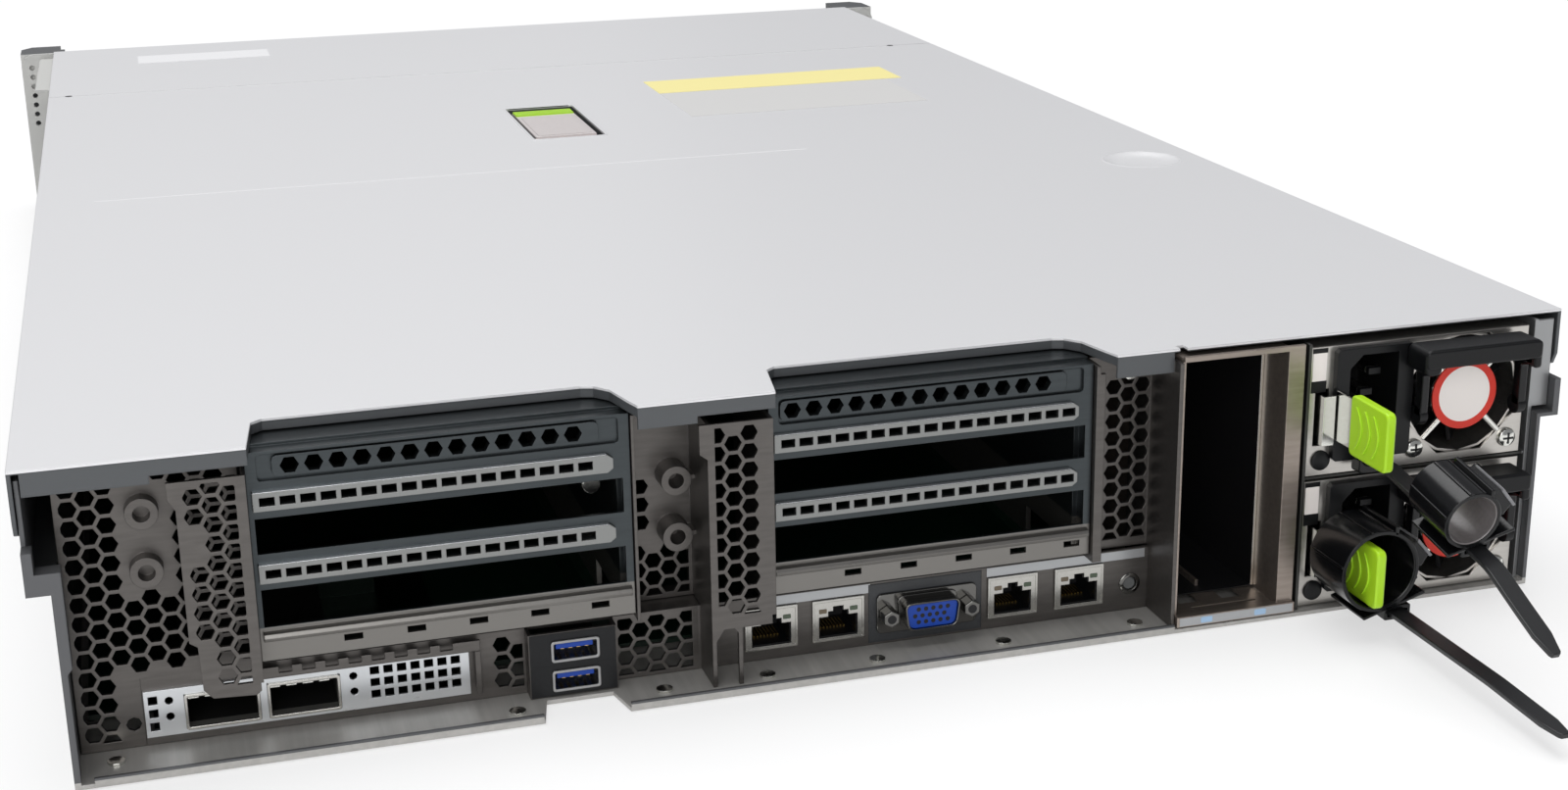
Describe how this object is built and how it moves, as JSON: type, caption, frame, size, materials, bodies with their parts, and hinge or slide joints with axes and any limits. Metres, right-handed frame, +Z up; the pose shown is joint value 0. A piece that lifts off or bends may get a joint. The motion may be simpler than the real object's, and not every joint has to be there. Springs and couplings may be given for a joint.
{
  "type": "rack server",
  "caption": "Two-unit rack server with sliding top cover, rear expansion slots, connector panel, drive bay, twin hot-swap power supplies and a front row of drives.",
  "frame": {"origin": "centre of the floor's underside, midway between the side walls and 373.3 mm ahead of the rear lip", "axes": "+Z up, -Y towards the drive front, +Y towards the connector panel, +X to the left seen from the rear"},
  "size_m": [0.4826, 0.8417, 0.0871],
  "materials": {
    "tub_steel": "satin",
    "rear_steel": "satin",
    "cover_paint": "satin",
    "zinc_steel": "satin",
    "connector_steel": "bright",
    "button_plastic": "matte",
    "fan_plastic": "matte",
    "board_green": "solder mask",
    "heatsink_aluminium": "bare",
    "board_dark": "solder mask",
    "cage_steel": "satin",
    "carrier_plastic": "matte",
    "lever_plastic": "matte",
    "ear_plastic": "matte",
    "tag_plastic": "matte",
    "latch_plastic": "satin",
    "label_yellow": "paper",
    "label_white": "paper",
    "psu_steel": "bright",
    "psu_plastic": "matte",
    "spring_steel": "bright",
    "green_plastic": "satin",
    "nylon_black": "satin"
  },
  "bodies": {
    "chassis": {"chassis_tub": "tub_steel", "front_top_panel": "cover_paint", "front_label": "label_white", "rear_panel": "rear_steel", "rear_columns": "rear_steel", "riser_1_bracket": "zinc_steel", "riser_2_bracket": "zinc_steel", "slot_blanks": "zinc_steel", "drive_bay_frame": "rear_steel", "psu_bay": "rear_steel", "network_card": "connector_steel", "transceiver_cages": "connector_steel", "usb_ports": "connector_steel", "network_ports": "connector_steel", "monitor_port": "connector_steel", "rivets": "zinc_steel", "fan_housings": "fan_plastic", "motherboard": "board_green", "heatsinks": "heatsink_aluminium", "memory_modules": "board_dark", "drive_cage": "cage_steel", "drive_backplane": "board_green", "drive_blanks": "carrier_plastic", "ear_brackets": "ear_plastic"},
    "cover": {"top_cover": "cover_paint", "cover_label": "label_yellow"},
    "cover_latch": {"cover_latch": "latch_plastic"},
    "id_button": {"id_button": "button_plastic"},
    "drive": {"drive_carrier": "carrier_plastic"},
    "drive_lever": {"drive_lever": "lever_plastic"},
    "latch_left": {"latch_lever_left": "lever_plastic"},
    "latch_right": {"latch_lever_right": "lever_plastic"},
    "power_button": {"power_button": "button_plastic"},
    "asset_tag": {"asset_tag": "tag_plastic"},
    "fan_1": {"fan_rotor_1": "fan_plastic"},
    "fan_2": {"fan_rotor_2": "fan_plastic"},
    "fan_3": {"fan_rotor_3": "fan_plastic"},
    "fan_4": {"fan_rotor_4": "fan_plastic"},
    "fan_5": {"fan_rotor_5": "fan_plastic"},
    "fan_6": {"fan_rotor_6": "fan_plastic"},
    "psu_1": {"psu_1_case": "psu_steel", "psu_1_inlet": "psu_plastic", "psu_1_screws": "psu_steel", "psu_1_strap": "nylon_black"},
    "psu_1_fan": {"psu_1_fan_rotor": "psu_plastic"},
    "psu_1_handle": {"psu_1_handle": "psu_plastic"},
    "psu_1_release": {"psu_1_latch": "spring_steel", "psu_1_tab": "green_plastic"},
    "psu_1_clamp": {"psu_1_clamp": "nylon_black"},
    "psu_2": {"psu_2_case": "psu_steel", "psu_2_inlet": "psu_plastic", "psu_2_screws": "psu_steel", "psu_2_strap": "nylon_black"},
    "psu_2_fan": {"psu_2_fan_rotor": "psu_plastic"},
    "psu_2_handle": {"psu_2_handle": "psu_plastic"},
    "psu_2_release": {"psu_2_latch": "spring_steel", "psu_2_tab": "green_plastic"},
    "psu_2_clamp": {"psu_2_clamp": "nylon_black"}
  },
  "joints": [
    {"name": "cover_slide", "type": "slide", "parent": "chassis", "child": "cover", "axis": [0, 1, 0], "range_m": [0, 0.0127]},
    {"name": "cover_latch_lift", "type": "hinge", "parent": "cover", "child": "cover_latch", "pos_m": [0.00735, -0.009, 0.0838], "axis": [-1, 0, 0], "range_deg": [0, 90]},
    {"name": "id_button_press", "type": "slide", "parent": "chassis", "child": "id_button", "axis": [0, -1, 0], "range_m": [0, 0.0008], "stiffness_N_per_m": 200},
    {"name": "power_button_press", "type": "slide", "parent": "chassis", "child": "power_button", "axis": [0, 1, 0], "range_m": [0, 0.001], "stiffness_N_per_m": 200},
    {"name": "fan_1_spin", "type": "hinge", "parent": "chassis", "child": "fan_1", "pos_m": [-0.175, -0.153, 0.043], "axis": [0, 1, 0], "continuous": true},
    {"name": "fan_2_spin", "type": "hinge", "parent": "chassis", "child": "fan_2", "pos_m": [-0.105, -0.153, 0.043], "axis": [0, 1, 0], "continuous": true},
    {"name": "fan_3_spin", "type": "hinge", "parent": "chassis", "child": "fan_3", "pos_m": [-0.035, -0.153, 0.043], "axis": [0, 1, 0], "continuous": true},
    {"name": "fan_4_spin", "type": "hinge", "parent": "chassis", "child": "fan_4", "pos_m": [0.035, -0.153, 0.043], "axis": [0, 1, 0], "continuous": true},
    {"name": "fan_5_spin", "type": "hinge", "parent": "chassis", "child": "fan_5", "pos_m": [0.105, -0.153, 0.043], "axis": [0, 1, 0], "continuous": true},
    {"name": "fan_6_spin", "type": "hinge", "parent": "chassis", "child": "fan_6", "pos_m": [0.175, -0.153, 0.043], "axis": [0, 1, 0], "continuous": true},
    {"name": "drive_draw", "type": "slide", "parent": "chassis", "child": "drive", "axis": [0, -1, 0], "range_m": [0, 0.12]},
    {"name": "drive_lever_open", "type": "hinge", "parent": "drive", "child": "drive_lever", "pos_m": [-0.14365, -0.351, 0.014], "axis": [1, 0, 0], "range_deg": [0, 55]},
    {"name": "latch_left_pull", "type": "hinge", "parent": "chassis", "child": "latch_left", "pos_m": [-0.2265, -0.3615, 0.04], "axis": [0, 0, 1], "range_deg": [0, 30]},
    {"name": "latch_right_pull", "type": "hinge", "parent": "chassis", "child": "latch_right", "pos_m": [0.2265, -0.3615, 0.04], "axis": [0, 0, -1], "range_deg": [0, 30]},
    {"name": "asset_tag_draw", "type": "slide", "parent": "chassis", "child": "asset_tag", "axis": [0, -1, 0], "range_m": [0, 0.06]},
    {"name": "psu_1_draw", "type": "slide", "parent": "chassis", "child": "psu_1", "axis": [0, 1, 0], "range_m": [0, 0.19]},
    {"name": "psu_1_fan_spin", "type": "hinge", "parent": "psu_1", "child": "psu_1_fan", "pos_m": [-0.1909, 0.36, 0.0641], "axis": [0, 1, 0], "continuous": true},
    {"name": "psu_1_handle_fold", "type": "hinge", "parent": "psu_1", "child": "psu_1_handle", "pos_m": [-0.1887, 0.374, 0.0604], "axis": [-1, 0, 0], "range_deg": [0, 70]},
    {"name": "psu_1_release_press", "type": "hinge", "parent": "psu_1", "child": "psu_1_release", "pos_m": [-0.1421, 0.332, 0.0614], "axis": [0, 0, 1], "range_deg": [0, 2], "stiffness_Nm_per_rad": 0.6},
    {"name": "psu_1_clamp_slide", "type": "slide", "parent": "psu_1", "child": "psu_1_clamp", "axis": [0, 0.9831, -0.1829], "range_m": [-0.008, 0.006]},
    {"name": "psu_2_draw", "type": "slide", "parent": "chassis", "child": "psu_2", "axis": [0, 1, 0], "range_m": [0, 0.045]},
    {"name": "psu_2_fan_spin", "type": "hinge", "parent": "psu_2", "child": "psu_2_fan", "pos_m": [-0.1909, 0.36, 0.0223], "axis": [0, 1, 0], "continuous": true},
    {"name": "psu_2_handle_fold", "type": "hinge", "parent": "psu_2", "child": "psu_2_handle", "pos_m": [-0.1887, 0.374, 0.0186], "axis": [-1, 0, 0], "range_deg": [0, 70]},
    {"name": "psu_2_release_press", "type": "hinge", "parent": "psu_2", "child": "psu_2_release", "pos_m": [-0.1421, 0.332, 0.0196], "axis": [0, 0, 1], "range_deg": [0, 2], "stiffness_Nm_per_rad": 0.6},
    {"name": "psu_2_clamp_slide", "type": "slide", "parent": "psu_2", "child": "psu_2_clamp", "axis": [0, 1, 0], "range_m": [0, 0.045]}
  ],
  "couplings": [
    {"joint": "cover_latch_lift", "follows": "cover_slide", "rad_per_m": 123.56}
  ]
}
